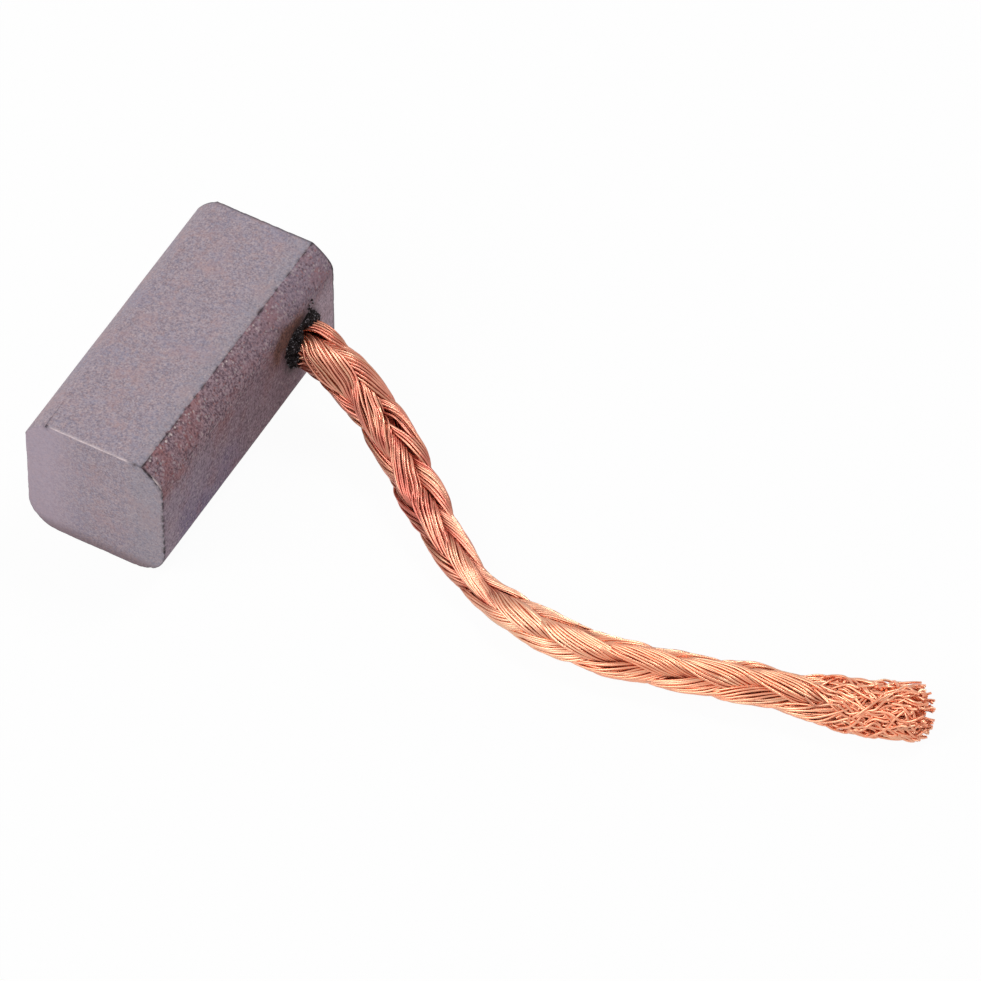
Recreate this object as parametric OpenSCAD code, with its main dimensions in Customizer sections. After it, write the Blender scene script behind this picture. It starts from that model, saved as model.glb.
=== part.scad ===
// Carbon brush for a small motor: a pressed copper-graphite block with a
// braided copper lead tamped into a blind hole in its side.
//
// The block lies on its rounded-edge side, on z = 0, centred on x and y.
// Its contact face looks along -Y, its spring end along +Y, and the lead
// leaves through the side that looks along +X and runs down to z = 0.

/* [Block] */
// Width of the block, across the commutator
block_w = 7; // [5.5:0.5:12]
// Height of the block, along the commutator's turn
block_h = 7; // [5.5:0.5:12]
// Length of the block, from the contact face to the spring end
block_l = 15; // [9:0.5:30]
// Leg of the 45 degree chamfers along the two upper edges
top_chamfer = 1.05; // [0.2:0.05:1.5]
// Radius of the rounds along the two lower edges
bottom_round = 1.55; // [0.2:0.05:2]

/* [Lead joint] */
// Distance from the spring end to the axis of the lead's hole
hole_setback = 2.9; // [2:0.1:4]
// Diameter of the lead's hole
hole_d = 2.4; // [2.3:0.1:3]
// Depth of the hole's straight wall
hole_depth = 4.2; // [2.5:0.1:4.2]
// Full angle of the drill point at the hole's bottom
drill_point_angle = 118; // [90:2:140]
// Width of the groove rings that grip the tamped powder
groove_w = 0.4; // [0.2:0.05:0.5]
// Depth of each groove ring into the hole's wall
groove_depth = 0.15; // [0.05:0.05:0.25]
// Distance from one groove ring to the next
groove_pitch = 1; // [0.7:0.05:1.2]
// Number of groove rings
groove_count = 3; // [1:1:3]

/* [Seal bead] */
// Diameter of the seal bead where it lies on the block
bead_d = 2.9; // [2.7:0.1:3.4]
// Height of the seal bead above the block's side
bead_h = 0.4; // [0.2:0.05:0.6]

/* [Lead] */
// Diameter of the braided lead
lead_d = 1.8; // [1.2:0.1:1.9]
// Diameter across the loose strands at the cut end
frayed_d = 2.5; // [2.2:0.1:3]
// Length over which the braid opens towards the cut end
frayed_l = 6; // [1:0.5:8]

/* [Clearances] */
// Room between the lead's corners and the hole that they pass through
lead_clearance = 0.02; // [0.01:0.01:0.05]
// Room between the lying lead and the surface below it
lie_clearance = 0.02; // [0.01:0.01:0.1]

/* [Hidden] */

// The lead's hole, halfway up the flat between the lower round and the chamfer
side_x = block_w / 2;
hole_y = block_l / 2 - hole_setback;
hole_z = (bottom_round + block_h - top_chamfer) / 2;
drill_point_h = hole_d / 2 / tan(drill_point_angle / 2);
first_groove = groove_pitch;

// How many sides each shape has
round_sides = 96;
bead_steps = 6;
lead_sides = 8;

// The lead's section has flats at its true radius, so its corners stand out
corner_factor = 1 / cos(180 / lead_sides);
lead_hole_d = lead_d * corner_factor + 2 * lead_clearance;

// How far each cut runs past the face that it opens
past = 0.5;

// The lead's route. Each point gives its distance out from the block's side,
// its distance along Y from the hole's axis, and its rise: 1 at the hole's
// height and 0 where the lead lies on the surface.
ROUTE = [
    [0, 0, 1], [0.65, 0, 1], [1.25, -0.15, 0.95], [2.1, -0.3, 0.84],
    [3.05, -0.45, 0.66], [4, -0.75, 0.47], [4.9, -1.15, 0.31], [5.8, -1.7, 0.19],
    [6.7, -2.3, 0.09], [7.55, -2.95, 0.03], [8.45, -3.6, 0], [9.3, -4.25, 0],
    [10.9, -5.3, 0], [12.2, -6.05, 0], [13.6, -6.6, 0], [15.05, -7, 0],
    [16.55, -7.15, 0], [18.05, -7.15, 0], [19.5, -6.95, 0], [21, -6.6, 0],
    [22.45, -6.25, 0], [23.9, -5.85, 0], [25.3, -5.45, 0], [26.75, -5.05, 0],
    [28.2, -4.65, 0], [29.65, -4.2, 0], [31.1, -3.8, 0], [33.25, -3.05, 0],
];

function unit(v) = v / norm(v);

// Distance along the route from point i to the cut end, seen from above
function to_end(i) =
    i >= len(ROUTE) - 1 ? 0
    : norm([for (k = [0, 1]) ROUTE[i + 1][k] - ROUTE[i][k]]) + to_end(i + 1);

// How far the braid has opened at route point i, from 0 to 1
function opened(i) = max(0, 1 - to_end(i) / frayed_l);

function lead_radius(i) = (lead_d + (frayed_d - lead_d) * opened(i)) / 2;

function lying_z(i) = lead_radius(i) + lie_clearance;

function route_point(i) = [
    side_x + ROUTE[i][0],
    hole_y + ROUTE[i][1],
    lying_z(i) + ROUTE[i][2] * (hole_z - lying_z(i)),
];

// The whole centre line: the root at the hole's bottom, then the free route
lead_path = concat(
    [[side_x - hole_depth, hole_y, hole_z]],
    [for (i = [0 : len(ROUTE) - 1]) route_point(i)]
);
lead_radii = concat(
    [lead_radius(0)],
    [for (i = [0 : len(ROUTE) - 1]) lead_radius(i)]
);

function tangent(path, i) = unit(path[min(i + 1, len(path) - 1)] - path[max(i - 1, 0)]);

// Corners of the ring around point i, square to the path and level sideways
function ring(path, radii, i) =
    let (
        ahead = tangent(path, i),
        side = unit(cross(ahead, [0, 0, 1])),
        up = cross(side, ahead)
    )
    [for (k = [0 : lead_sides - 1])
        let (a = 360 * (k + 0.5) / lead_sides)
        path[i] + radii[i] * corner_factor * (cos(a) * side + sin(a) * up)];

module swept_tube(path, radii) {
    last = len(path) - 1;
    corners = [for (i = [0 : last]) each ring(path, radii, i)];
    start_cap = [for (k = [0 : lead_sides - 1]) lead_sides - 1 - k];
    end_cap = [for (k = [0 : lead_sides - 1]) last * lead_sides + k];
    walls = [for (i = [0 : last - 1], k = [0 : lead_sides - 1])
        let (next = (k + 1) % lead_sides, a = i * lead_sides, b = a + lead_sides)
        [a + k, a + next, b + next, b + k]];
    polyhedron(points = corners, faces = concat([start_cap, end_cap], walls), convexity = 6);
}

// Puts a shape that stands on its own z axis into the lead's hole, pointing out
module at_hole() {
    translate([side_x, hole_y, hole_z]) rotate([0, 90, 0]) children();
}

// The block's section in x and z: chamfered above, rounded below
module block_section() {
    half = block_w / 2;
    union() {
        polygon([
            [-half, bottom_round],
            [-half + bottom_round, 0],
            [half - bottom_round, 0],
            [half, bottom_round],
            [half, block_h - top_chamfer],
            [half - top_chamfer, block_h],
            [-half + top_chamfer, block_h],
            [-half, block_h - top_chamfer],
        ]);
        for (s = [-1, 1])
            translate([s * (half - bottom_round), bottom_round])
                circle(r = bottom_round, $fn = round_sides);
    }
}

// Half section of the drilled hole: its wall, its groove rings and its point
module hole_shape(reach) {
    r = hole_d / 2;
    grooves = [for (n = [0 : groove_count - 1]) -first_groove - n * groove_pitch];
    rotate_extrude($fn = round_sides)
        polygon(concat(
            [[0, reach], [r, reach]],
            [for (z = grooves) each [
                [r, z + groove_w / 2],
                [r + groove_depth, z],
                [r, z - groove_w / 2],
            ]],
            [[r, -hole_depth], [0, -hole_depth - drill_point_h]]
        ));
}

module brush_block() {
    color([0.52, 0.47, 0.50])
    difference() {
        translate([0, block_l / 2, 0])
            rotate([90, 0, 0])
                linear_extrude(block_l) block_section();
        at_hole() hole_shape(past);
    }
}

// Copper powder tamped hard around the lead's root
module tamping_powder() {
    color([0.55, 0.33, 0.24])
    at_hole()
        difference() {
            hole_shape(0);
            translate([0, 0, -hole_depth])
                cylinder(h = hole_depth + past, d = lead_hole_d, $fn = round_sides);
        }
}

// Dark hardened bead that closes the hole around the lead
module seal_bead() {
    inner = lead_hole_d / 2;
    wide = bead_d / 2 - inner;
    color([0.10, 0.10, 0.11])
    at_hole()
        rotate_extrude($fn = round_sides)
            polygon(concat(
                [[inner, 0]],
                [for (n = [0 : bead_steps])
                    let (a = 90 * n / bead_steps)
                    [inner + wide * cos(a), bead_h * sin(a)]]
            ));
}

// The braided lead, from its root in the hole to its cut end
module lead() {
    color([0.85, 0.50, 0.36])
    swept_tube(lead_path, lead_radii);
}

brush_block();
tamping_powder();
seal_bead();
lead();
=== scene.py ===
"""A carbon brush: a pressed copper-graphite block with a braided copper lead.

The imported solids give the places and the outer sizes, and the part's other sizes are
named below. The block, the bead and the lead are made again here with their grain,
worn edges and single wires. The tamped powder inside the hole keeps its solid.
Lengths are in metres, unless a comment says millimetres.
"""

import math

import bmesh
import bpy
import numpy as np
from mathutils import Matrix, Vector, noise


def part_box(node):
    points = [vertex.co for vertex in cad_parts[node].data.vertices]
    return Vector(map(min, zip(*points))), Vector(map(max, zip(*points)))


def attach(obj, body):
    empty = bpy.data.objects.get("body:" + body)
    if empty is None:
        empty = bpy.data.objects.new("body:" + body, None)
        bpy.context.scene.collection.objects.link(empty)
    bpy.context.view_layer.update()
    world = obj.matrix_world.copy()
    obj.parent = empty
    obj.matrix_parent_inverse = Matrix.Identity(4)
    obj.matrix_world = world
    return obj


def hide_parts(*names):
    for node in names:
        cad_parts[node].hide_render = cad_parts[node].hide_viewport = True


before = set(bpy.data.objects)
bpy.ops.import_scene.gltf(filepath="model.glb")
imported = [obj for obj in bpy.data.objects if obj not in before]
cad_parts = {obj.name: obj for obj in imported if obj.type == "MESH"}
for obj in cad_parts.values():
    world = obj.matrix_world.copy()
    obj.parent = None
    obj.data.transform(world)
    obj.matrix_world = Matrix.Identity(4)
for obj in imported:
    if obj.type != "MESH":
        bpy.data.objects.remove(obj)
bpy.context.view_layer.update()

MM = 0.001

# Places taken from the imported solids
BLOCK_LOW, BLOCK_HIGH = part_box("brush_block")
BEAD_LOW, BEAD_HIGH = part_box("seal_bead")
HALF_WIDTH = BLOCK_HIGH.x
HEIGHT = BLOCK_HIGH.z
NEAR_END, SPRING_END = BLOCK_LOW.y, BLOCK_HIGH.y
HOLE = Vector((HALF_WIDTH, (BEAD_LOW.y + BEAD_HIGH.y) / 2, (BEAD_LOW.z + BEAD_HIGH.z) / 2))

# The part's own sizes
TOP_CHAMFER = 1.05 * MM
BOTTOM_ROUND = 1.55 * MM
HOLE_D = 2.4 * MM
HOLE_DEPTH = 4.2 * MM
DRILL_POINT_ANGLE = 118
GROOVE_W = 0.4 * MM
GROOVE_DEPTH = 0.15 * MM
GROOVE_PITCH = 1 * MM
GROOVE_COUNT = 3
BEAD_HEIGHT = 0.4 * MM
LEAD_D = 1.8 * MM
FRAYED_D = 2.5 * MM
FRAYED_LENGTH = 6 * MM
LIE_CLEARANCE = 0.02 * MM

# The lead's route: millimetres out from the block's side and along Y from the hole's
# axis, and the rise, 1 at the hole's height and 0 where the lead lies on the surface
LEAD_ROUTE = [
    (0, 0, 1), (0.65, 0, 1), (1.25, -0.15, 0.95), (2.1, -0.3, 0.84), (3.05, -0.45, 0.66),
    (4, -0.75, 0.47), (4.9, -1.15, 0.31), (5.8, -1.7, 0.19), (6.7, -2.3, 0.09),
    (7.55, -2.95, 0.03), (8.45, -3.6, 0), (9.3, -4.25, 0), (10.9, -5.3, 0), (12.2, -6.05, 0),
    (13.6, -6.6, 0), (15.05, -7, 0), (16.55, -7.15, 0), (18.05, -7.15, 0), (19.5, -6.95, 0),
    (21, -6.6, 0), (22.45, -6.25, 0), (23.9, -5.85, 0), (25.3, -5.45, 0), (26.75, -5.05, 0),
    (28.2, -4.65, 0), (29.65, -4.2, 0), (31.1, -3.8, 0), (33.25, -3.05, 0),
]

# How thick the braid is, against its usual thickness, by millimetres from its root
LEAD_GIRTH = [
    (0, 1.0), (3.6, 1.02), (4.2, 1.14), (4.9, 1.26), (7.0, 1.24), (10.0, 1.22),
    (13.5, 1.16), (15.3, 1.07), (16.8, 0.99), (18.2, 0.87), (19.4, 0.82), (20.8, 0.97),
    (22.5, 1.06), (24.0, 1.03), (27.0, 1.02), (31.0, 1.05), (33.4, 1.09), (34.6, 1.2),
    (35.6, 1.4), (37.0, 1.46), (40.5, 1.48),
]

# How red-brown the copper has turned, by millimetres from its root; near the block this is partly
# painted shade
COPPER_AGE_AND_SHADE = [
    (0, 0.75), (7, 0.75), (10, 0.9), (14.5, 0.95), (17, 0.7), (19, 0.25), (21, 0.0), (41, 0.0),
]

# How far the opened end of the lead sinks under its own weight, and where it does
SINK = 0.24 * MM
SINK_START, SINK_END = 33.5 * MM, 36 * MM
# Stretches a noise, which keeps near its middle, to run from about -1 to 1
FULL_SWING = 3.2

# The camera: what it looks at, where it stands, how it is turned and its long lens
CAMERA_TARGET = Vector((13.9, 3.2, 1.0)) * MM
CAMERA_DISTANCE = 436.3 * MM
CAMERA_AZIMUTH = 29.14
CAMERA_ELEVATION = 50.42
CAMERA_ROLL = 0.21
CAMERA_LENS = 361.85

# Light on things that don't face a lamp, where 1 would be full white
AMBIENT = 0.35
# How deep the relief of the pressed grain is
GRAIN_RELIEF = 0.02 * MM
# The white surface: how much light it sends back, and how much of its look is plain white
SURFACE_ALBEDO = 0.88
SURFACE_WHITE = 0.96


# ------ node trees


class Term:
    """A node's output that takes part in formulas as a number does."""

    def __init__(self, work, output):
        self.work = work
        self.output = output


def add_operator(name, operation):
    """Lets an operator take a Term on either side, and a Term or a number on the other."""
    setattr(Term, f"__{name}__", lambda self, other: self.work.math(operation, self, other))
    setattr(Term, f"__r{name}__", lambda self, other: self.work.math(operation, other, self))


add_operator("add", "ADD")
add_operator("sub", "SUBTRACT")
add_operator("mul", "MULTIPLY")
add_operator("truediv", "DIVIDE")
add_operator("pow", "POWER")


def colour(red, green, blue):
    """A screen colour, 0 to 255, as the linear colour that a socket takes."""
    parts = [c / 255 for c in (red, green, blue)]
    linear = [c / 12.92 if c <= 0.04045 else ((c + 0.055) / 1.055) ** 2.4 for c in parts]
    return (*linear, 1.0)


class NodeWork:
    """A node tree being built: each call adds a node and joins it up."""

    def __init__(self, tree):
        self.tree = tree

    def feed(self, slot, value):
        if isinstance(value, Term):
            value = value.output
        if isinstance(value, bpy.types.NodeSocket):
            self.tree.links.new(value, slot)
        else:
            slot.default_value = value

    def node(self, kind, inputs=None, **settings):
        node = self.tree.nodes.new(kind)
        for name, value in settings.items():
            setattr(node, name, value)
        for name, value in (inputs or {}).items():
            self.feed(node.inputs[name], value)
        return node

    def term(self, kind, inputs=None, output=0, **settings):
        """One output of a new node."""
        return Term(self, self.node(kind, inputs, **settings).outputs[output])

    def math(self, operation, *values):
        return self.term("ShaderNodeMath", dict(enumerate(values)), operation=operation)

    def vector(self, operation, *values):
        slots = {3: values[1], 0: values[0]} if operation == "SCALE" else dict(enumerate(values))
        return self.term("ShaderNodeVectorMath", slots, operation=operation)

    def combine(self, x, y, z):
        return self.term("ShaderNodeCombineXYZ", {"X": x, "Y": y, "Z": z})

    def split(self, vector):
        node = self.node("ShaderNodeSeparateXYZ", {"Vector": vector})
        return [Term(self, output) for output in node.outputs]

    def ramp(self, value, start, end, low=0.0, high=1.0):
        """A smooth step from low, where value is start, to high, where it is end."""
        return self.term(
            "ShaderNodeMapRange",
            {"Value": value, "From Min": start, "From Max": end, "To Min": low, "To Max": high},
            interpolation_type="SMOOTHSTEP",
        )

    def noise(self, vector, scale, detail=2.0, roughness=0.5):
        return self.term(
            "ShaderNodeTexNoise",
            {"Vector": vector, "Scale": scale, "Detail": detail, "Roughness": roughness},
        )

    def profile(self, value, points):
        """A smooth curve through points (place, height), with heights from 0 to 2."""
        first, last = points[0][0], points[-1][0]
        node = self.node("ShaderNodeFloatCurve", {"Value": (value - first) / (last - first)})
        curve = node.mapping.curves[0]
        for _ in points[2:]:
            curve.points.new(0.5, 0.5)
        for knot, (place, height) in zip(curve.points, points):
            knot.location = ((place - first) / (last - first), height / 2)
        node.mapping.update()
        return Term(self, node.outputs[0]) * 2.0

    def mix(self, amount, a, b):
        """A colour between a and b, each an output, a screen colour or a linear colour."""
        node = self.node("ShaderNodeMix", data_type="RGBA")
        for slot, value in (("Factor_Float", amount), ("A_Color", a), ("B_Color", b)):
            if isinstance(value, tuple) and len(value) == 3:
                value = colour(*value)
            self.feed(next(s for s in node.inputs if s.identifier == slot), value)
        return Term(self, next(s for s in node.outputs if s.identifier == "Result_Color"))

    def layers(self, base, *coats):
        """A colour with others laid over it in turn, each as (amount, colour)."""
        for amount, coat in coats:
            base = self.mix(amount, base, coat)
        return base

    def attribute(self, name):
        """A number that the mesh carries, for a material."""
        return self.term("ShaderNodeAttribute", output="Fac", attribute_name=name)

    def store(self, geometry, **values):
        """The geometry with numbers written on its points, for its material."""
        for name, value in values.items():
            inputs = {"Geometry": geometry, "Name": name, "Value": value}
            geometry = self.term("GeometryNodeStoreNamedAttribute", inputs)
        return geometry

    def hand_out(self, geometry, material):
        """Ends a Geometry Nodes tree with a plain mesh that has its material."""
        whole = self.term("GeometryNodeRealizeInstances", {"Geometry": geometry})
        done = self.term("GeometryNodeSetMaterial", {"Geometry": whole, "Material": material})
        self.node("NodeGroupOutput", {0: done})


def new_tree(name, kind, inputs, outputs):
    """A node group with named sockets, its node work, and its inputs by name."""
    tree = bpy.data.node_groups.new(name, kind)
    for way, sockets in (("INPUT", inputs), ("OUTPUT", outputs)):
        for label, socket in sockets.items():
            tree.interface.new_socket(label, in_out=way, socket_type="NodeSocket" + socket)
    work = NodeWork(tree)
    entry = work.node("NodeGroupInput")
    return tree, work, {label: Term(work, entry.outputs[label]) for label in inputs}


def geometry_tree(name, source, settings):
    """A Geometry Nodes tree with inputs for its source shape and for each setting."""
    kinds = {int: "Int", float: "Float"}
    inputs = {label: kinds.get(type(value), "Material") for label, value in settings.items()}
    return new_tree(name, "GeometryNodeTree", {source: "Geometry", **inputs}, {"Mesh": "Geometry"})


def new_material(name):
    """A material with its node work, its Principled shader and Object coordinates."""
    material = bpy.data.materials.new(name)
    material.use_nodes = True
    work = NodeWork(material.node_tree)
    shader = material.node_tree.nodes["Principled BSDF"]
    return material, work, shader, work.term("ShaderNodeTexCoord", output="Object")


def dress(work, shader, base, roughness, height=None):
    """Gives a shader its colour, its roughness and, where there is one, its relief."""
    work.feed(shader.inputs["Base Color"], base)
    work.feed(shader.inputs["Roughness"], roughness)
    if height:
        relief = {"Height": height, "Distance": GRAIN_RELIEF, "Strength": 1.0}
        work.feed(shader.inputs["Normal"], work.term("ShaderNodeBump", relief))


# ------ meshes


def add_object(name, data):
    made = bpy.data.objects.new(name, data)
    bpy.context.scene.collection.objects.link(made)
    return made


def mesh_from_arrays(name, points, faces):
    mesh = bpy.data.meshes.new(name)
    mesh.from_pydata([tuple(p) for p in points], [], faces)
    mesh.update()
    return mesh


def plain_mesh(made):
    """The object with its modifiers' result as its own plain mesh."""
    bpy.context.view_layer.update()
    result = bpy.data.meshes.new_from_object(
        made.evaluated_get(bpy.context.evaluated_depsgraph_get())
    )
    name = made.name
    bpy.data.objects.remove(made)
    result.name = name
    return add_object(name, result)


def with_nodes(made, tree, values):
    """Runs a Geometry Nodes tree on an object and keeps the mesh that comes out."""
    modifier = made.modifiers.new("build", "NODES")
    modifier.node_group = tree
    sockets = {
        item.name: item.identifier
        for item in tree.interface.items_tree
        if item.item_type == "SOCKET" and item.in_out == "INPUT"
    }
    for name, value in values.items():
        modifier[sockets[name]] = value
    return plain_mesh(made)


# ------ camera, light, surface


def place_camera():
    azimuth, elevation = math.radians(CAMERA_AZIMUTH), math.radians(CAMERA_ELEVATION)
    back = Vector((
        math.sin(azimuth) * math.cos(elevation),
        -math.cos(azimuth) * math.cos(elevation),
        math.sin(elevation),
    ))
    data = bpy.data.cameras.new("camera")
    data.lens = CAMERA_LENS
    data.clip_start = 0.01
    data.clip_end = 10
    camera = add_object("camera", data)
    turn = (-back).to_track_quat("-Z", "Y").to_matrix() @ Matrix.Rotation(
        math.radians(CAMERA_ROLL), 3, "Z"
    )
    camera.matrix_world = (
        Matrix.Translation(CAMERA_TARGET + back * CAMERA_DISTANCE) @ turn.to_4x4()
    )
    bpy.context.scene.camera = camera


def add_softbox(name, towards, distance, size, power):
    """A square area lamp that shines on the block from a direction."""
    data = bpy.data.lights.new(name, "AREA")
    data.energy = power
    data.size = size
    lamp = add_object(name, data)
    direction = Vector(towards).normalized()
    lamp.location = direction * distance
    lamp.rotation_euler = direction.to_track_quat("Z", "Y").to_euler()


def seen_directly(work):
    """1 for rays from the camera or off metal and glass, and 0 for rays that light things."""
    rays = work.node("ShaderNodeLightPath")
    camera, glossy, through = (
        Term(work, rays.outputs[name])
        for name in ("Is Camera Ray", "Is Glossy Ray", "Is Transmission Ray")
    )
    return work.math("MINIMUM", camera + glossy + through, 1.0)


def light_the_studio():
    world = bpy.data.worlds.new("studio")
    bpy.context.scene.world = world
    world.use_nodes = True
    world.node_tree.nodes.clear()
    work = NodeWork(world.node_tree)
    strength = seen_directly(work) * (1.0 - AMBIENT) + AMBIENT
    background = work.node("ShaderNodeBackground", {"Strength": strength})
    work.node("ShaderNodeOutputWorld", {"Surface": background.outputs[0]})

    add_softbox("key", towards=(-0.5, -0.75, 0.8), distance=0.5, size=0.34, power=1.37)
    add_softbox("top", towards=(0.15, 0.5, 0.85), distance=0.5, size=0.14, power=0.83)


def lay_surface():
    """A white surface, far wider than the picture, that the lamps lay soft shadows on."""
    reach = 2
    corners = [(-reach, -reach, 0), (reach, -reach, 0), (reach, reach, 0), (-reach, reach, 0)]
    mesh = mesh_from_arrays("surface", corners, [(0, 1, 2, 3)])
    surface = add_object("surface", mesh)
    material = bpy.data.materials.new("white_surface")
    material.use_nodes = True
    material.node_tree.nodes.clear()
    work = NodeWork(material.node_tree)
    diffuse = work.node("ShaderNodeBsdfDiffuse", {"Color": (*[SURFACE_ALBEDO] * 3, 1)})
    white = work.node("ShaderNodeEmission", {"Strength": 1.0})
    both = work.node("ShaderNodeMixShader", {
        0: seen_directly(work) * SURFACE_WHITE, 1: diffuse.outputs[0], 2: white.outputs[0],
    })
    work.node("ShaderNodeOutputMaterial", {"Surface": both.outputs[0]})
    mesh.materials.append(material)


# ------ the lead


def lead_radius_at(to_end):
    opened = max(0.0, 1 - to_end / FRAYED_LENGTH)
    return (LEAD_D + (FRAYED_D - LEAD_D) * opened) / 2


def lead_centre_line():
    """The route's points, from the root at the hole's bottom to the cut end."""
    route = [(out * MM, along * MM, rise) for out, along, rise in LEAD_ROUTE]
    flat = [Vector((out, along)) for out, along, _ in route]
    steps = [(b - a).length for a, b in zip(flat, flat[1:])] + [0.0]
    points = [Vector((HOLE.x - HOLE_DEPTH, HOLE.y, HOLE.z))]
    for i, (out, along, rise) in enumerate(route):
        lying = lead_radius_at(sum(steps[i:])) + LIE_CLEARANCE
        points.append(Vector((HOLE.x + out, HOLE.y + along, lying + rise * (HOLE.z - lying))))
    return points


def along_route(name, points, tree, settings):
    """The mesh that a tree makes along the lead's route."""
    data = bpy.data.curves.new("lead_route", "CURVE")
    data.dimensions = "3D"
    data.resolution_u = 12
    spline = data.splines.new("BEZIER")
    spline.bezier_points.add(len(points) - 1)
    for knot, point in zip(spline.bezier_points, points):
        knot.co = point
        knot.handle_left_type = knot.handle_right_type = "AUTO"
    return with_nodes(add_object(name, data), tree, settings)


def straight_wires(work, given, count):
    """The level route and its length, and a straight line per wire with its number.

    The lines' points are moved into place afterwards.
    """
    route = work.term("GeometryNodeSetCurveNormal", {"Curve": given["Route"]}, mode="Z_UP")
    length = work.term("GeometryNodeCurveLength", {"Curve": route})
    line = work.term("GeometryNodeCurvePrimitiveLine", {"End": (1.0, 0.0, 0.0)})
    fine = work.term("GeometryNodeResampleCurve", {"Curve": line, "Count": given["Wire Steps"]})
    copies = work.node(
        "GeometryNodeDuplicateElements", {"Geometry": fine, "Amount": count}, domain="SPLINE"
    )
    wire = Term(work, copies.outputs["Duplicate Index"])
    return route, length, copies.outputs["Geometry"], wire


def random_of(work, wire, seed, channel):
    """A number from 0 to 1 that belongs to one wire."""
    place = work.combine(wire + 0.5, seed, channel)
    return work.term("ShaderNodeTexWhiteNoise", {"Vector": place}, "Value")


def beside_route(work, route, distance, level, down, ahead=0.0):
    """The place that lies so far to the route's level side, so far below it and ahead."""
    sample = work.node(
        "GeometryNodeSampleCurve", {"Curves": route, "Length": distance}, mode="LENGTH"
    )
    place, tangent, sideways = (
        Term(work, sample.outputs[name]) for name in ("Position", "Tangent", "Normal")
    )
    downwards = work.vector("CROSS_PRODUCT", tangent, sideways)
    for direction, reach in ((sideways, level), (downwards, down), (tangent, ahead)):
        place = work.vector("ADD", place, work.vector("SCALE", direction, reach))
    return work.split(place)


def round_wires(work, given, lines, place, distance, tone, depth):
    """Moves the lines' points, marks them for the metal and makes round wires of them.

    The opened end sinks under its own weight, and no wire goes below the surface.
    """
    x, y, z = place
    sunk = z - work.ramp(distance, SINK_START, SINK_END) * SINK
    on_surface = work.math("MAXIMUM", sunk, given["Wire Diameter"] * 0.5)
    placed = work.term(
        "GeometryNodeSetPosition", {"Geometry": lines, "Position": work.combine(x, y, on_surface)}
    )
    # depth is how deep the wire lies, which the copper shows as painted shade
    marked = work.store(placed, tone=tone, depth=depth, along=distance / MM)
    ring = work.term(
        "GeometryNodeCurvePrimitiveCircle",
        {"Resolution": given["Wire Sides"], "Radius": given["Wire Diameter"] * 0.5},
    )
    tubes = work.term(
        "GeometryNodeCurveToMesh", {"Curve": marked, "Profile Curve": ring, "Fill Caps": True}
    )
    work.hand_out(tubes, given["Metal"])


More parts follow.
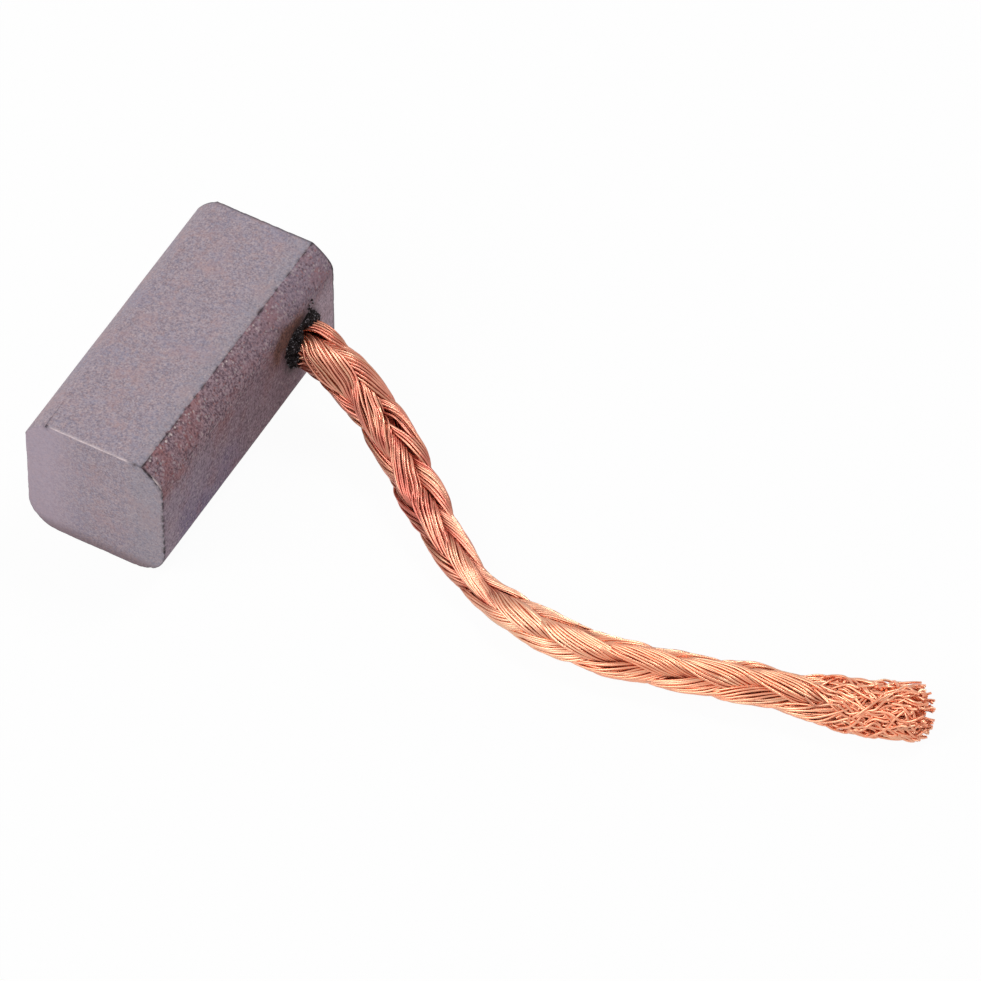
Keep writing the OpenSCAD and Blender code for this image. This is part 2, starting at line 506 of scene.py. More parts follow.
def braid_tree(settings):
    """Wires of one bundle, woven over two and under two of the bundles that cross it."""
    tree, work, given = geometry_tree("braided_bundle", "Route", settings)
    route, length, lines, wire = straight_wires(
        work, given, given["Wires Across"] * given["Wire Layers"]
    )
    seed, hand = given["Seed"], given["Hand"]
    layer = work.math("FLOOR", wire / given["Wires Across"])
    column = wire - layer * given["Wires Across"]

    def chance(channel):
        return random_of(work, wire, seed, channel)

    def swing(distance, wave, own, channel, detail):
        place = work.combine(distance / (wave * MM), own, channel)
        return (work.noise(place, 1.0, detail) - 0.5) * FULL_SWING

    def wander(distance, wave, channel):
        """A swing between about -1 and 1 along one wire, whose wave is in millimetres."""
        return swing(distance, wave, wire * 3.7 + seed * 11.3, channel, 1.0)

    def bundle_wander(distance, wave, channel):
        """The same kind of swing for all the wires of the bundle."""
        return swing(distance, wave, seed * 5.3, channel, 0.0)

    # How far along the route the point is, and how far the braid has opened there
    factor = work.term("GeometryNodeSplineParameter", output="Factor")
    spot = chance(7.0) ** 0.45 * 0.95 + 0.08
    rim = spot * spot
    cut = chance(1.0) ** 2.0 * given["Cut Spread"] + rim * given["Dome"]
    distance = factor * (length - cut)
    opened = work.ramp(length - distance, given["Frayed Length"], 0.0)

    # The bundle's own angle round the lead: it turns slowly while it lies outside and
    # fast while it crosses underneath
    even = (
        hand * distance / given["Braid Pitch"] * math.tau
        + given["Start Angle"]
        + bundle_wander(distance, 4.5, 21.0) * 0.13
    )
    double = even * 2.0
    centre = even - hand * given["Linger"] * 0.5 * work.math("SINE", double)

    # Each wire's place across the bundle's flat width, from -1 to 1
    across = (column + 0.5 + (layer - 0.5) * 0.5) / given["Wires Across"] * 2.0 - 1.0
    loose = wander(distance, 2.6, 3.0) * given["Wander"]
    width = given["Half Width"] * (bundle_wander(distance, 3.5, 23.0) * 0.22 + 1.0)
    beside = (across + loose * 1.1 / given["Wires Across"]) * width
    beside = beside + wander(distance, 3.4, 5.0) * 0.055

    # A slack place: the bundles that run past it part there, and those that cross it sink
    angle = centre + beside + given["Turn"] + given["Twist"] * distance
    from_slack = distance - given["Slack Place"]
    slant = from_slack * given["Slack Slant"]
    apart = work.math("WRAP", angle - given["Slack Angle"] - slant, -math.pi, math.pi)
    closeness = work.math(
        "EXPONENT",
        0.0 - (apart / given["Slack Width"]) ** 2.0
        - (from_slack / given["Slack Length"]) ** 2.0,
    )
    passing = (1.0 - hand) * 0.5
    aside = apart / work.math("SQRT", apart * apart + given["Slack Parting"] ** 2.0)
    angle = angle + aside * closeness * passing * given["Slack"]

    # Over two bundles and under two: flat on top, with a quick dip between
    wave = work.math("COSINE", double + beside) * hand
    wave = wave * (1.5 - wave * wave * 0.5)
    weave_depth = given["Weave Depth"] * (bundle_wander(distance, 3.0, 25.0) * 0.42 + 1.0)
    stacked = (layer - (given["Wire Layers"] - 1.0) / 2.0) * given["Wire Diameter"] * 0.9
    radius = (
        given["Braid Radius"]
        + wave * weave_depth
        + stacked
        - across * across * given["Crown"]
        + across * hand * given["Tilt"]
        + loose * given["Wire Diameter"] * 0.4
    )
    girth = work.profile(distance, [(place * MM, ratio) for place, ratio in LEAD_GIRTH])
    radius = radius * girth - closeness * (1.0 - passing) * given["Braid Radius"] * 0.6

    # At the cut end each wire drifts to a place of its own
    free_radius = spot * given["Frayed Radius"]
    free_angle = chance(8.0) * math.tau + wander(distance, 2.4, 11.0) * 0.7
    curl = given["Frayed Radius"] * (chance(13.0) * 0.24 + 0.07)

    def offset(wave_form, channel):
        braided = radius * work.math(wave_form, angle)
        free = free_radius * work.math(wave_form, free_angle)
        free = free + wander(distance, 1.3, channel) * curl
        return braided + (free - braided) * opened

    ahead = opened * opened * (1.0 - rim) * given["Dome"] * 0.7
    x, y, z = beside_route(
        work, route, distance, offset("COSINE", 9.0), offset("SINE", 10.0), ahead
    )
    lying = work.ramp(distance, 6 * MM, 10 * MM) * work.ramp(distance, 34 * MM, 32 * MM)
    lift = (girth - 1.0) * (LEAD_D / 2) * lying
    # How low the wire lies in the braid: the copper darkens there as painted shade of the hollows
    depth = work.ramp(
        radius, given["Braid Radius"] + given["Weave Depth"], given["Braid Radius"] * 0.72
    )
    depth = depth * (1.0 - opened)
    round_wires(work, given, lines, (x, y, z + lift), distance, chance(12.0), depth)
    return tree


def loose_wires_tree(settings):
    """Short wires that cross each other round the cut end, some of them bent back."""
    tree, work, given = geometry_tree("loose_wires", "Route", settings)
    route, length, lines, wire = straight_wires(work, given, given["Wires"])

    def chance(channel):
        return random_of(work, wire, given["Seed"], channel)

    def sway(wave, own, channel):
        """A slow swing along one wire, between about -0.3 and 0.3."""
        return work.noise(work.combine(factor * wave, wire * own, channel), 1.0, 0.0) - 0.5

    factor = work.term("GeometryNodeSplineParameter", output="Factor")
    reach = given["Shortest"] + (given["Longest"] - given["Shortest"]) * chance(1.0) ** 1.5
    end = length - chance(2.0) ** 1.3 * given["Spread"] - 0.25 * MM
    straight = end - reach * (1.0 - factor)
    arch = work.math("SINE", factor * math.pi)
    looped = end - reach * 0.55 * (1.0 - arch)
    bent_back = work.math("LESS_THAN", chance(3.0), given["Looped Share"])
    distance = work.math("MINIMUM", straight + (looped - straight) * bent_back, length)

    turn = (chance(4.0) - 0.5) * 2.0 * given["Swing"] * (1.0 - bent_back * 0.4)
    angle = chance(5.0) * math.tau + turn * (factor - 0.5) + sway(2.2, 4.1, given["Seed"]) * 0.9
    spot = given["Inner Radius"] + (given["Outer Radius"] - given["Inner Radius"]) * chance(6.0)
    radius = spot + sway(1.7, 3.3, 7.0) * 0.5 * MM + arch * bent_back * 0.08 * MM
    radius = radius * work.ramp(distance, 34 * MM, 36.8 * MM, 0.76, 1.0)
    level, down = (radius * work.math(wave_form, angle) for wave_form in ("COSINE", "SINE"))
    place = beside_route(work, route, distance, level, down)
    # How far in the wire lies: the copper darkens there as painted shade
    depth = work.ramp(radius, given["Outer Radius"], given["Inner Radius"]) * 0.5
    round_wires(work, given, lines, place, distance, chance(12.0), depth)
    return tree


def copper_material():
    """Bare copper wire: paler where it is clean, red-brown where it is old, darkened as painted
    shade where it lies deep and near the block, and with painted highlights on some wires.
    """
    material, work, shader, place = new_material("bare_copper_wire")
    tone, depth, along = (work.attribute(name) for name in ("tone", "depth", "along"))
    # Red-brown age, which near the block is partly painted shade
    age_and_shade = work.profile(along, COPPER_AGE_AND_SHADE)
    blotch = work.noise(place, 900.0, 3.0) - 0.46
    worn_clean = work.ramp(work.noise(place, 650.0, 2.0), 0.42, 0.62)
    # Random tarnish, together with painted shade where the wire lies deep and near the block
    tarnish_and_shade = depth * (age_and_shade * 0.3 + 0.65) + (tone - 0.5) * 0.5 + blotch * 1.1 + age_and_shade * 0.2
    copper = work.layers(
        (0.96, 0.5, 0.335, 1),
        (work.ramp(along, 22.0, 27.0), (0.94, 0.41, 0.25, 1)),
        (age_and_shade * (1.0 - worn_clean * 0.45), (0.66, 0.195, 0.145, 1)),
        # Painted highlights: pale yellow on the wires whose random tone is high
        (work.ramp(tone, 0.62, 1.0) * 0.65, (1.0, 0.66, 0.43, 1)),
    )
    tarnished_and_shaded = work.mix(work.ramp(tarnish_and_shade, 0.0, 1.0), copper, (0.34, 0.055, 0.032, 1))
    dress(work, shader, tarnished_and_shaded, work.noise(place, 1400.0, 2.0) * 0.2 + 0.17)
    shader.inputs["Metallic"].default_value = 0.87
    return material


# How many bundles the braid has
BUNDLES = 8


def bundle_settings(number, copper):
    """What one bundle's tree takes. Every second bundle turns the other way."""
    return {
        "Wires Across": 10,
        "Wire Layers": 2,
        "Wire Diameter": 0.12 * MM,
        "Wire Steps": 220,
        "Wire Sides": 6,
        "Braid Pitch": 12.4 * MM,
        "Linger": 0.42,
        "Braid Radius": 0.60 * MM,
        "Weave Depth": 0.19 * MM,
        "Crown": 0.08 * MM,
        "Tilt": 0.035 * MM,
        "Half Width": math.radians(45),
        "Hand": 1.0 if number % 2 == 0 else -1.0,
        "Start Angle": math.radians(360 / BUNDLES * number),
        "Turn": math.radians(141),
        "Twist": -math.radians(1.4) / MM,
        "Slack": 0.42,
        "Slack Width": 0.4,
        "Slack Length": 1.1 * MM,
        "Slack Parting": 0.09,
        "Slack Place": 9.7 * MM,
        "Slack Angle": math.radians(256),
        "Slack Slant": -math.radians(19.5) / MM,
        "Frayed Length": 6.0 * MM,
        "Frayed Radius": 1.3 * MM,
        "Cut Spread": 1.2 * MM,
        "Dome": 0.45 * MM,
        "Wander": 1.0,
        "Seed": number + 1.0,
        "Metal": copper,
    }


def make_lead():
    points = lead_centre_line()
    copper = copper_material()
    settings = [bundle_settings(number, copper) for number in range(BUNDLES)]
    braid = braid_tree(settings[0])
    bundles = [
        along_route(f"braid_bundle_{number}", points, braid, values)
        for number, values in enumerate(settings, 1)
    ]
    loose = {
        "Wires": 210,
        "Wire Diameter": 0.13 * MM,
        "Wire Steps": 18,
        "Wire Sides": 8,
        "Shortest": 1.1 * MM,
        "Longest": 2.8 * MM,
        "Spread": 3.2 * MM,
        "Inner Radius": 0.75 * MM,
        "Outer Radius": 1.2 * MM,
        "Swing": math.radians(120),
        "Looped Share": 0.16,
        "Seed": 3.0,
        "Metal": copper,
    }
    bundles.append(along_route("loose_wires", points, loose_wires_tree(loose), loose))
    for bundle in bundles:
        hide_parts("lead")
        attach(bundle, "root")


# ------ pressed grain

GRAIN_INPUTS = {
    "Position": "Vector", "Grain Size": "Float", "Dark Share": "Float", "Light Share": "Float",
}
GRAIN_OUTPUTS = {"Tone": "Float", "Dark": "Float", "Light": "Float", "Height": "Float"}


def grain_group():
    """Grains of pressed powder: their tone, the dark and the light ones, and a height."""
    _, work, given = new_tree("pressed_grain", "ShaderNodeTree", GRAIN_INPUTS, GRAIN_OUTPUTS)
    scaled = work.vector("SCALE", given["Position"], 1.0 / given["Grain Size"])
    fine = work.noise(scaled, 1.0, 3.0, 0.65)
    coarse = work.noise(scaled, 0.35, 2.0)
    cells = work.node("ShaderNodeTexVoronoi", {"Vector": scaled, "Scale": 0.8})
    chance = work.split(cells.outputs["Color"])
    near_middle = work.ramp(Term(work, cells.outputs["Distance"]), 0.55, 0.3)
    dark = near_middle * work.math("LESS_THAN", chance[0], given["Dark Share"])
    light = near_middle * work.math("LESS_THAN", chance[1], given["Light Share"])
    work.node("NodeGroupOutput", {
        "Tone": fine * 0.8 + coarse * 0.2,
        "Dark": dark,
        "Light": light,
        "Height": fine * 0.7 + coarse * 0.5 + light * 0.3 - dark * 0.6,
    })


def use_grain(work, place, size, dark_share, light_share):
    """The grain group in a material, with its own values: its outputs by name."""
    node = work.node(
        "ShaderNodeGroup",
        dict(zip(GRAIN_INPUTS, (place, size, dark_share, light_share))),
        node_tree=bpy.data.node_groups["pressed_grain"],
    )
    return {name: Term(work, node.outputs[name]) for name in GRAIN_OUTPUTS}


# ------ the block

# Spacing of the block's points, closer together along its edges
GRID = 0.1 * MM
FINE = [0.025 * MM, 0.055 * MM]
CAP_INSETS = [
    0.025, 0.055, 0.1, 0.2, 0.3, 0.4, 0.5, 0.6, 0.75, 0.95, 1.2, 1.5, 1.9, 2.4, 2.9,
]
ROUND_STEPS = 26


def graded(length, step, fine):
    """Places from 0 to just short of length, closer together near both ends."""
    ends = [0.0, *fine]
    inner = length - 2 * ends[-1]
    count = max(1, round(inner / step))
    middle = [ends[-1] + inner * i / count for i in range(1, count)]
    return ends + middle + [length - d for d in reversed(ends[1:])]


def section_outline():
    """Points (x, z) round the block's section, anticlockwise as seen from -Y."""
    half, low, high = HALF_WIDTH, BOTTOM_ROUND, HEIGHT - TOP_CHAMFER
    corners = [
        (half, low), (half, high), (half - TOP_CHAMFER, HEIGHT),
        (-half + TOP_CHAMFER, HEIGHT), (-half, high), (-half, low),
    ]
    points = []
    for (x0, z0), (x1, z1) in zip(corners, corners[1:]):
        long = math.hypot(x1 - x0, z1 - z0)
        for d in graded(long, GRID, FINE):
            points.append((x0 + (x1 - x0) * d / long, z0 + (z1 - z0) * d / long))
    quarter = [math.pi / 2 * k / ROUND_STEPS for k in range(ROUND_STEPS)]
    points += [
        (-half + low - low * math.cos(a), low - low * math.sin(a)) for a in quarter
    ]
    points += [(-half + low + d, 0.0) for d in graded(2 * (half - low), GRID, [])]
    points += [(half - low + low * math.sin(a), low - low * math.cos(a)) for a in quarter]
    return points


def block_shell():
    """The sharp block's points, each point's distance from its end face's rim, and faces."""
    outline = np.array(section_outline())
    count = len(outline)
    middle = np.array([0.0, HEIGHT / 2])
    inward = [(1 - inset * MM / HALF_WIDTH, inset * MM) for inset in CAP_INSETS]
    length = SPRING_END - NEAR_END
    rings = [(NEAR_END, k, inset) for k, inset in reversed(inward)]
    rings += [(NEAR_END + d, 1.0, 0.0) for d in [*graded(length, GRID, FINE), length]]
    rings += [(SPRING_END, k, inset) for k, inset in inward]
    points, insets = [], []
    for y, k, inset in rings:
        ring = middle + (outline - middle) * k
        points.append(np.column_stack([ring[:, 0], np.full(count, y), ring[:, 1]]))
        insets.append(np.full(count, inset))
    points.append(np.array([[0, NEAR_END, HEIGHT / 2], [0, SPRING_END, HEIGHT / 2]]))
    insets.append(np.full(2, HALF_WIDTH))
    points, insets = np.concatenate(points), np.concatenate(insets)

    faces = []
    for r in range(len(rings) - 1):
        a, b = r * count, (r + 1) * count
        faces += [(a + i, b + i, b + (i + 1) % count, a + (i + 1) % count) for i in range(count)]
    last = (len(rings) - 1) * count
    for i in range(count):
        j = (i + 1) % count
        faces.append((len(points) - 2, i, j))
        faces.append((len(points) - 1, last + j, last + i))
    return points, insets, faces


def swings(points, size, seed):
    """Smooth noise from -1 to 1 at each point, whose bumps are about size across."""
    shift = Vector((seed * 17.3, seed * 5.1, -seed * 9.7))
    return np.array([noise.noise(Vector(p) / size + shift) for p in points])


def near(value, width, place=0.0):
    """1 where value is place, falling away smoothly over width."""
    return np.exp(-(((value - place) / width) ** 2))


def step(value, start, end):
    """0 where value is below start and 1 where it is above end, with a smooth rise between."""
    t = np.clip((value - start) / (end - start), 0, 1)
    return t * t * (3 - 2 * t)


def unit_range(values):
    return np.clip(values, 0, 1)


# How deep the wear goes, in millimetres: all over, along every edge, along the edge
# between the chamfer and the lead's side, in a chip, and in the rough skin
WEAR_ALL_OVER = 0.008
WEAR_EDGES = 0.018
WEAR_SIDE_EDGE = 0.035
WEAR_CHIPS = 0.10
WEAR_ROUGH_SKIN = 0.012
# How far the chamfers stand out in their middle, in millimetres
CHAMFER_CROWN = 0.09


def make_block():
    points, insets, faces = block_shell()
    mesh = mesh_from_arrays("graphite_block", points, faces)
    normals = np.array([v.normal[:] for v in mesh.vertices])
    small = swings(points, 0.22 * MM, 1)
    medium = swings(points, 0.5 * MM, 2)
    broad = swings(points, 2.2 * MM, 3)

    # All lengths are in millimetres from here on
    x, y, z = points.T / MM
    insets = insets / MM
    half, top, chamfer = HALF_WIDTH / MM, HEIGHT / MM, TOP_CHAMFER / MM
    near_y, far_y = NEAR_END / MM, SPRING_END / MM
    chamfer_x, chamfer_z = half - chamfer, top - chamfer

    # Distances from the sharp edges: the four long ones above, and the two ends
    top_right, side_right, top_left, side_left = (
        np.hypot(x - edge_x, z - edge_z)
        for edge_x, edge_z in (
            (chamfer_x, top), (half, chamfer_z), (-chamfer_x, top), (-half, chamfer_z),
        )
    )
    near_end = np.where(y <= near_y, insets, y - near_y)
    far_end = np.where(y >= far_y, insets, far_y - y)
    all_edges = np.minimum.reduce([top_right, side_right, top_left, side_left, near_end, far_end])

    # Where the pressed skin is rough: the chamfer above the lead, and the side that it leaves
    outwards = np.abs(x) - chamfer_x + (z - chamfer_z)
    eaten = unit_range(medium * 1.6 + small * 0.7 - 0.05) * (0.3 + 0.7 * step(-y, 0, 4))
    on_chamfer = (x > 0) * step(outwards + 0.13 * eaten, chamfer - 0.03, chamfer)
    on_side = (x > chamfer_x) * step(-z, -chamfer_z - 0.05, -chamfer_z + 0.1)
    on_side = on_side * (np.abs(y) < far_y - 0.001)
    rough = unit_range(on_chamfer + on_side * (0.35 + 0.6 * step(z, 2.6, 5.4)))
    rough = np.where(y <= near_y, rough * step(-near_end, -0.06, 0), rough)

    # Small chips along the edges, deepest where the rough skin meets the ground top
    chip_zone = (
        near(top_right, 0.10)
        + near(side_right, 0.10) * 0.3
        + near(near_end, 0.09) * (0.25 + 0.75 * step(x, 1.75, 2.1))
        + near(far_end, 0.09) * 0.3
        + near(top_left, 0.09) * 0.3
    )
    chips = unit_range(medium * 1.6 + small - 0.15) * unit_range(chip_zone)
    nick = near(np.hypot(x + 2.4, y - near_y), 0.09) * (z > top - 0.3)
    chips = unit_range(chips + nick * 0.6)
    depth = (
        WEAR_ALL_OVER * (1 + broad)
        + WEAR_EDGES * near(all_edges, 0.035)
        + WEAR_SIDE_EDGE * near(side_right, 0.17)
        + WEAR_CHIPS * chips
        + WEAR_ROUGH_SKIN * rough * (1 + small)
    )
    down_chamfer = (np.abs(x) - chamfer_x) - (z - chamfer_z)
    crown = unit_range(1 - (down_chamfer / chamfer) ** 2) * step(outwards, chamfer * 0.5, chamfer)
    crown = crown * CHAMFER_CROWN * math.sqrt(0.5)
    moved = points - normals * (depth * MM)[:, None]
    moved += np.column_stack([crown * np.sign(x), 0 * crown, crown]) * MM
    moved = np.clip(moved, [-HALF_WIDTH, NEAR_END, 0], [HALF_WIDTH, SPRING_END, HEIGHT])
    mesh.vertices.foreach_set("co", moved.ravel())
    mesh.update()
    mesh.polygons.foreach_set("use_smooth", [True] * len(mesh.polygons))

    # Painted shade in the chips and in dark nicks along the edges, and a painted highlight along
    # the near edge's ground part
    dots = unit_range(small * 2.4 + medium * 0.5 + 0.65)
    sharp_corner = step(x, 1.85, 2.0) * step(z, 0.9, 1.6)
    painted_nick_shade = dots * (
        near(near_end, 0.09) * sharp_corner * 1.2
        + near(top_right, 0.07) * (0.5 + 0.5 * step(-y, -0.5, 3.5))
    ) + near(near_end, 0.07) * on_chamfer * 0.8
    # Painted shade: thin dark lines along the far end, the left edges and the lower part of the
    # near end
    painted_outline_shade = (
        near(far_end, 0.09) * 1.3
        + near(top_left, 0.04) * 0.6 * step(-y, 5, 7)
        + near(side_left, 0.06)
        + near(near_end, 0.04) * step(-z, -3, -1)
    )
    # Painted highlight: a bright line along the near top edge and at the near end of the chamfer
    painted_highlight = near(near_end, 0.055) * near(z, 0.05, top)
    painted_highlight = painted_highlight * step(x, -2.35, -2.2) * step(-x, -2.0, -1.5)
    chamfer_end = near(near_end, 0.04, 0.07) * (y > near_y) * on_chamfer
    painted_highlight = painted_highlight + chamfer_end * step(x, 2.85, 2.95) * step(-x, -3.45, -3.35)
    crumbly = near(top_right, 0.16, 0.14) * on_chamfer
    crumbly = crumbly * unit_range(small * 3 + 0.3) * step(-y, -5, 1)

    # The brown stain that the sealing compound left round the lead
    right = x > chamfer_x - 0.2
    beside = np.hypot((y - 2.95) / 0.95, (z - 5.0) / 0.85)
    above = np.hypot((y - 4.2) / 1.0, (z - 5.35) / 0.55)
    stain = (near(beside, 1) * 1.5 + near(above, 1) * 0.75) * (1 + 0.6 * medium + 0.4 * small)
    from_hole = np.hypot(y - HOLE.y / MM, z - HOLE.z / MM)
    dark_stain = near(from_hole, 0.32, 1.3) * (0.85 + 0.5 * medium)

    on_front = y <= near_y + 0.01
    marks = {
        "painted_nick_shade": chips * 0.8 + painted_nick_shade,
        "painted_outline_shade": painted_outline_shade,
        "rough": rough,
        "side": on_side,
        "stain": unit_range(stain) * right,
        "dark_stain": unit_range(dark_stain) * right,
        # Painted shade: the near face darker towards its bottom edge
        "painted_bottom_shade": step(-z, -0.85, -0.1) * on_front,
        # Painted light: the near face lighter towards its left, the side the lamp falls on
        "light": step(-x, 0.3, 2.6) * on_front,
        "crumbly": crumbly,
        "painted_highlight": painted_highlight * (0.85 + 0.5 * small),
    }
    for name, values in marks.items():
        attribute = mesh.attributes.new(name, "FLOAT", "POINT")
        attribute.data.foreach_set("value", unit_range(values))
    mesh.materials.append(block_material(marks))
    block = drilled(add_object("graphite_block", mesh))
    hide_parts("brush_block")
    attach(block, "root")


def drilled(block):
    """The block with the lead's hole, and the grooves that the tamped powder fills."""
    past, r = 0.5 * MM, HOLE_D / 2
    profile = [(past, r)]
    for n in range(1, GROOVE_COUNT + 1):
        middle = -n * GROOVE_PITCH
        profile += [
            (middle + GROOVE_W / 2, r), (middle, r + GROOVE_DEPTH), (middle - GROOVE_W / 2, r),
        ]
    profile.append((-HOLE_DEPTH, r))
    point_h = r / math.tan(math.radians(DRILL_POINT_ANGLE / 2))
    sides = 96
    turns = [math.tau * k / sides for k in range(sides)]
    points = [
        HOLE + Vector((along, radius * math.cos(a), radius * math.sin(a)))
        for along, radius in profile
        for a in turns
    ]
    points.append(HOLE + Vector((-HOLE_DEPTH - point_h, 0, 0)))
    faces = [tuple(range(sides))]
    last = (len(profile) - 1) * sides
    for k in range(sides):
        beside = (k + 1) % sides
        for a in range(0, last, sides):
            faces.append((a + beside, a + k, a + sides + k, a + sides + beside))
        faces.append((last + beside, last + k, len(points) - 1))
    drill = add_object("drill", mesh_from_arrays("drill", points, faces))
    cut = block.modifiers.new("hole", "BOOLEAN")
    cut.operation = "DIFFERENCE"
    cut.solver = "EXACT"
    cut.object = drill
    result = plain_mesh(block)
    bpy.data.objects.remove(drill)
    return result


def block_material(marks):
    """Pressed copper graphite: mauve-grey and finely speckled, brown and rough at the lead."""
    material, work, shader, place = new_material("pressed_graphite")
    fine = use_grain(work, place, 0.09 * MM, 0.2, 0.16)
    coarse = use_grain(work, place, 0.115 * MM, 0.28, 0.2)
    mask = {name: work.attribute(name) for name in marks}
    x, y, z = work.split(work.vector("SCALE", place, 1 / MM))

    def clouds(shift, scale, detail):
        return work.noise(work.vector("ADD", place, shift), scale, detail, 0.6)

    patches = work.noise(place, 700.0, 3.0)
    warm = clouds((0.03, 0.01, 0.0), 620.0, 4.0)
    cool = clouds((0.0, 0.04, 0.02), 520.0, 4.0)
    hue = clouds((0.02, 0.02, 0.05), 6500.0, 2.0)

    # The ground faces
    speckle = work.ramp(fine["Tone"], 0.36, 0.64)
    ground = work.layers(
        work.mix(speckle, (138, 125, 137), (182, 166, 174)),
        (work.ramp(warm, 0.48, 0.66) * 0.4, (182, 150, 152)),
        (work.ramp(cool, 0.5, 0.7) * 0.3, (148, 144, 166)),
        (work.ramp(hue, 0.52, 0.68) * 0.3, (184, 148, 142)),
        (work.ramp(hue, 0.48, 0.32) * 0.3, (138, 142, 168)),
        (work.ramp(x, 1.0, 2.5) * 0.3, (146, 147, 156)),
        (fine["Dark"] * 0.3, (104, 92, 104)),
        (fine["Light"] * 0.3, (214, 196, 196)),
        # Painted light on the left part of the near face
        (mask["light"] * 0.6, (184, 166, 180)),
        # Painted shade at the bottom edge of the near face
        (mask["painted_bottom_shade"] * 0.6, (112, 88, 90)),
    )

    # The rough skin, whose colour changes along the side
    speckle = work.ramp(coarse["Tone"], 0.36, 0.64)
    skin = work.layers(
        work.mix(speckle, (102, 80, 92), (176, 149, 158)),
        (work.ramp(warm, 0.44, 0.62) * 0.5, (160, 100, 98)),
        (work.ramp(y, -1, 5) * 0.35, (156, 144, 162)),
        (work.ramp(hue, 0.55, 0.7) * 0.4, (170, 104, 92)),
        (coarse["Dark"] * 0.5, (72, 54, 64)),
        (coarse["Light"] * 0.45, (208, 192, 194)),
    )
    along = work.ramp(y + (patches - 0.5) * 3, -5.2, -1.5)
    low = work.ramp(z + (cool - 0.5) * 5, 4.2, 1.2)
    low = low * work.ramp(y, 0.0, -2.5) * work.ramp(y, -6.8, -5.6)
    side = work.layers(
        work.mix(along, (164, 146, 162), (138, 112, 124)),
        # Painted light: the side past the bead lighter, as if lit from behind
        (work.ramp(y, 4.2, 5.4), (212, 190, 204)),
        (low * 0.75, (98, 86, 132)),
        (work.ramp(warm, 0.5, 0.68) * 0.4, (150, 96, 98)),
        ((1.0 - speckle) * 0.6, (90, 72, 84)),
        (speckle * 0.32, (196, 174, 184)),
        (coarse["Light"] * 0.4, (206, 188, 190)),
    )
    skin = work.mix(mask["side"] * work.ramp(z, 5.9, 4.4), skin, side)

    brown = work.mix(speckle, (60, 32, 26), (126, 84, 68))
    crumb = work.math("MAXIMUM", coarse["Light"], fine["Light"])
    surface = work.layers(
        ground,
        (work.ramp(mask["rough"] + mask["side"], 0.15, 0.5), skin),
        (mask["stain"] * 0.9, brown),
        (mask["dark_stain"] * 0.8, (52, 34, 32)),
        (mask["crumbly"] * crumb, (238, 220, 218)),
        # Painted shade: thin dark outlines along the edges
        (mask["painted_outline_shade"] * 0.8, (70, 64, 70)),
        # Painted shade in the chips and nicks
        (mask["painted_nick_shade"] * 0.9, (36, 28, 34)),
        # Painted highlight along the near edges
        (mask["painted_highlight"], (250, 232, 232)),
    )
    relief = coarse["Height"] * mask["rough"] * 1.1 + fine["Height"] * 0.4
    dress(work, shader, surface, mask["rough"] * 0.2 + 0.6 + fine["Tone"] * 0.1, relief)
    shader.inputs["Specular IOR Level"].default_value = 0.3
    return material


# ------ the bead

# How far the bead reaches from the lead's axis in millimetres, by degrees
# anticlockwise from +Y as seen from the lead's end
BEAD_REACH = [
    (0, 1.32), (25, 1.36), (46, 1.52), (60, 1.5), (72, 1.3), (86, 1.2), (104, 1.21),
    (116, 1.34), (136, 1.5), (154, 1.52), (170, 1.36), (200, 1.24), (240, 1.24), (266, 1.36),
    (300, 1.34), (330, 1.32), (360, 1.32),
]
# Where the bead is low and smooth, and how widely, in degrees
BEAD_NECK, BEAD_NECK_WIDTH = 92, 16
# How far the bead's rim runs into the block, and its inside into the braid
BEAD_ROOT = 0.04 * MM
BEAD_GRIP = 0.06 * MM
# Crumbs of the compound on the block's side: their place in Y and Z, and their size, in mm
BEAD_CRUMBS = [
    (5.3, 5.5, 0.1), (5.6, 5.36, 0.07), (5.27, 5.27, 0.1), (5.12, 5.42, 0.07),
    (5.5, 5.66, 0.08), (5.42, 5.1, 0.12),
]
BEAD_AROUND = 260
BEAD_ACROSS = 20


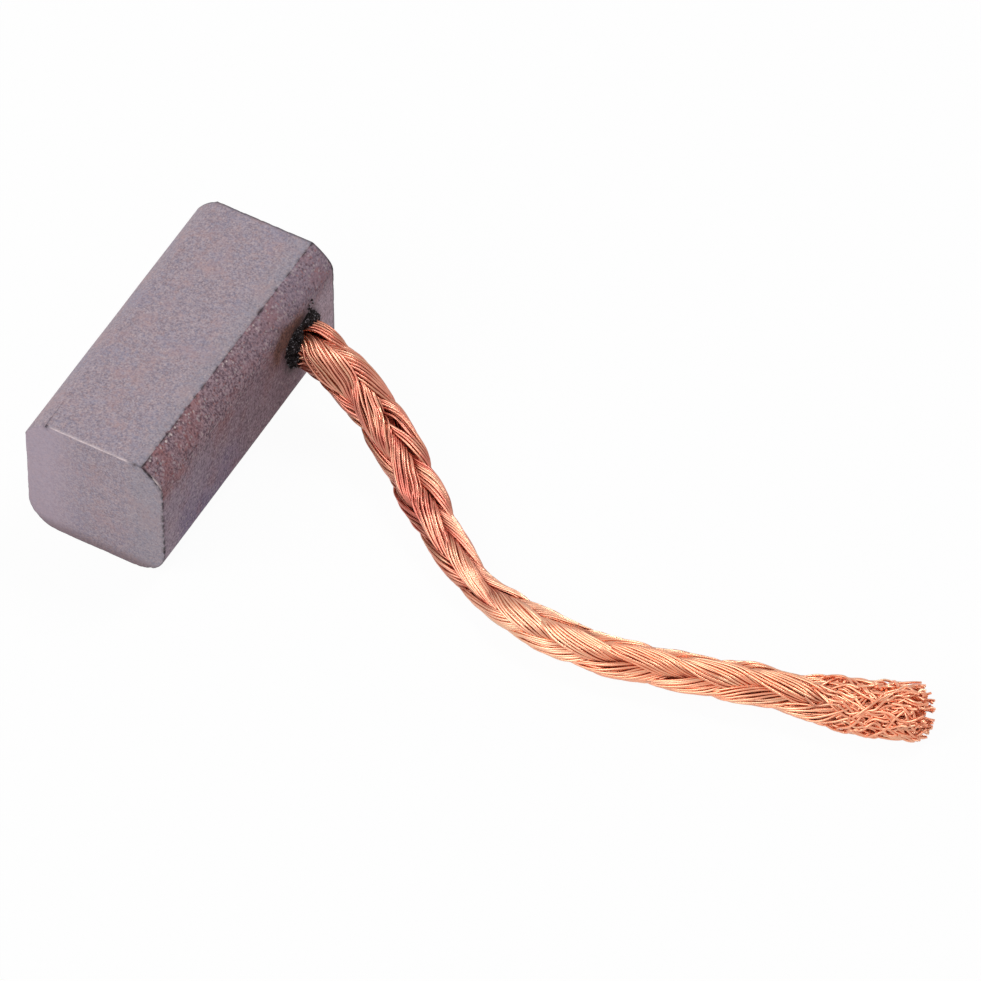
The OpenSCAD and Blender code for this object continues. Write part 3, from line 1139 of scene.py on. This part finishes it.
def make_bead():
    """A crumbly ring of hardened compound round the lead, with grains stuck in it."""
    inner = LEAD_D / 2 - BEAD_GRIP
    root = Vector((-BEAD_ROOT, 0, 0))
    angles, reach = zip(*BEAD_REACH)
    points = []
    for i in range(BEAD_AROUND):
        a = math.tau * i / BEAD_AROUND
        degrees = math.degrees(a)
        direction = Vector((0, math.cos(a), math.sin(a)))
        neck = 1 - 0.75 * math.exp(-(((degrees - BEAD_NECK) / BEAD_NECK_WIDTH) ** 2))
        ragged = noise.fractal(direction * 7.0, 0.6, 2.0, 4) * 0.14 * MM * neck
        outer = np.interp(degrees, angles, reach) * MM + ragged
        points.append(HOLE + direction * inner + root)
        for j in range(BEAD_ACROSS):
            t = j / (BEAD_ACROSS - 1)
            flat = HOLE + direction * (inner + (outer - inner) * t)
            lump = noise.fractal(flat / (0.26 * MM), 0.8, 2.0, 4)
            rise = math.sin(math.pi * min(1, 0.3 + t * 0.7)) ** 0.7
            height = BEAD_HEIGHT * min(1, rise * (0.68 + 0.7 * lump)) * neck
            wavy = direction * (0.1 * MM * lump * math.sin(math.pi * t))
            points.append(flat + wavy + Vector((max(height, 0.004 * MM), 0, 0)))
        points.append(HOLE + direction * outer + root)
    size = BEAD_ACROSS + 2
    faces = []
    for i in range(BEAD_AROUND):
        a, b = i * size, (i + 1) % BEAD_AROUND * size
        faces += [(a + j, a + j + 1, b + j + 1, b + j) for j in range(size - 1)]
        faces.append((a + size - 1, a, b, b + size - 1))
    mesh = mesh_from_arrays("sealing_bead", points, faces)
    shaped = bmesh.new()
    shaped.from_mesh(mesh)
    for along, up, across in BEAD_CRUMBS:
        place = Matrix.Translation(Vector((HOLE.x, along * MM, up * MM)))
        squashed = Matrix.Diagonal((0.5, 1.0, 0.8, 1.0))
        bmesh.ops.create_icosphere(
            shaped, subdivisions=2, radius=across / 2 * MM, matrix=place @ squashed
        )
    bmesh.ops.recalc_face_normals(shaped, faces=shaped.faces)
    shaped.to_mesh(mesh)
    shaped.free()
    grains = {
        "Grains": 6.0e8,
        "Smallest": 0.018 * MM,
        "Largest": 0.058 * MM,
        "Compound": compound_material(),
    }
    bead = with_nodes(add_object("sealing_bead", mesh), grains_tree(grains), grains)
    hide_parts("seal_bead")
    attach(bead, "root")


def grains_tree(settings):
    """Scatters small grains over a surface and joins them to it."""
    tree, work, given = geometry_tree("stuck_grains", "Surface", settings)
    spots = work.term(
        "GeometryNodeDistributePointsOnFaces",
        {"Mesh": given["Surface"], "Density": given["Grains"], "Seed": 4},
    )
    grain = work.term("GeometryNodeMeshIcoSphere", {"Radius": 1.0, "Subdivisions": 1})
    place = work.vector("SCALE", work.term("GeometryNodeInputPosition"), 1e6)
    chance = work.split(work.term("ShaderNodeTexWhiteNoise", {"Vector": place}, "Color"))
    size = given["Smallest"] + (given["Largest"] - given["Smallest"]) * chance[0] ** 2.5
    instances = work.term("GeometryNodeInstanceOnPoints", {
        "Points": work.store(spots, glint=chance[1]),
        "Instance": grain,
        "Scale": work.combine(size, size * (chance[2] * 0.6 + 0.6), size * 0.8),
        "Rotation": work.combine(chance[0] * 6.0, chance[1] * 6.0, chance[2] * 6.0),
    })
    joined = work.node("GeometryNodeJoinGeometry", {0: given["Surface"]})
    work.feed(joined.inputs[0], instances)
    work.hand_out(joined.outputs[0], given["Compound"])
    return tree


def compound_material():
    """Dark hardened compound, with painted glints: pale colour on a few of its grains."""
    material, work, shader, place = new_material("sealing_compound")
    grain = use_grain(work, place, 0.05 * MM, 0.2, 0.12)
    # Painted glints: a few grains made pale
    painted_glints = work.math("GREATER_THAN", work.attribute("glint"), 0.88)
    dark = work.layers(
        work.mix(work.ramp(grain["Tone"], 0.3, 0.7), (14, 9, 10), (44, 34, 36)),
        (grain["Light"] * 0.25, (130, 122, 128)),
        (painted_glints * 0.85, (146, 140, 146)),
    )
    dress(work, shader, dark, grain["Tone"] * 0.25 + 0.5, grain["Height"])
    shader.inputs["Specular IOR Level"].default_value = 0.2
    return material


def finish_powder():
    """The tamped copper powder keeps its solid and gets its grain."""
    material, work, shader, place = new_material("tamped_powder")
    grain = use_grain(work, place, 0.06 * MM, 0.15, 0.2)
    copper = work.layers(
        work.mix(grain["Tone"], (120, 66, 46), (190, 124, 92)),
        (grain["Dark"] * 0.6, (60, 32, 26)),
        (grain["Light"] * 0.6, (232, 170, 132)),
    )
    dress(work, shader, copper, grain["Tone"] * 0.3 + 0.4, grain["Height"])
    work.feed(shader.inputs["Metallic"], grain["Light"] * 0.7 + 0.2)
    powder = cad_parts["tamping_powder"]
    powder.data.materials.clear()
    powder.data.materials.append(material)


# ------ making

bpy.context.scene.view_settings.view_transform = "Standard"
place_camera()
make_lead()
light_the_studio()
lay_surface()
grain_group()
make_block()
make_bead()
finish_powder()
